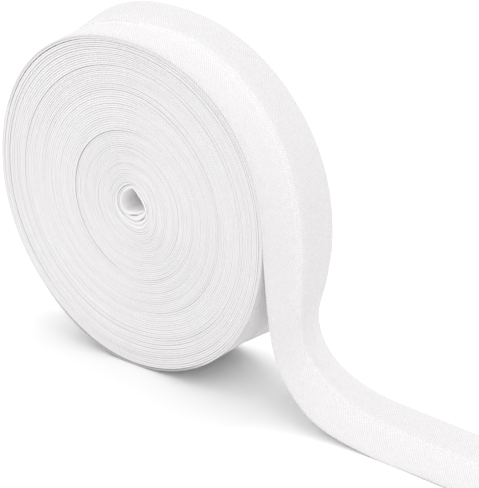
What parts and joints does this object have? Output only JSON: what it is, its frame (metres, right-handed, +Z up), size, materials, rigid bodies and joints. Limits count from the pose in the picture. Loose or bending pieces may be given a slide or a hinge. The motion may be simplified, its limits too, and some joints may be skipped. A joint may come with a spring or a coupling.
{
  "type": "roll of bias tape",
  "caption": "Coreless roll of folded bias-cut cotton tape standing on its rim, its loose end dropping from one side and running out flat.",
  "frame": {"origin": "the middle of the flat spot on the rim that the roll stands on", "axes": "+Y along the roll's axis from the front face to the back face, +X to the side where the loose end runs out, +Z up from the surface"},
  "size_m": [0.1558, 0.0297, 0.0852],
  "materials": {
    "tape_roll": "matte white plain-weave cotton, edge-on turns on both sides",
    "tape_end": "matte white plain-weave cotton, cut on the bias"
  },
  "bodies": {
    "root": {"roll": "tape_roll", "loose_end": "tape_end"}
  },
  "joints": []
}
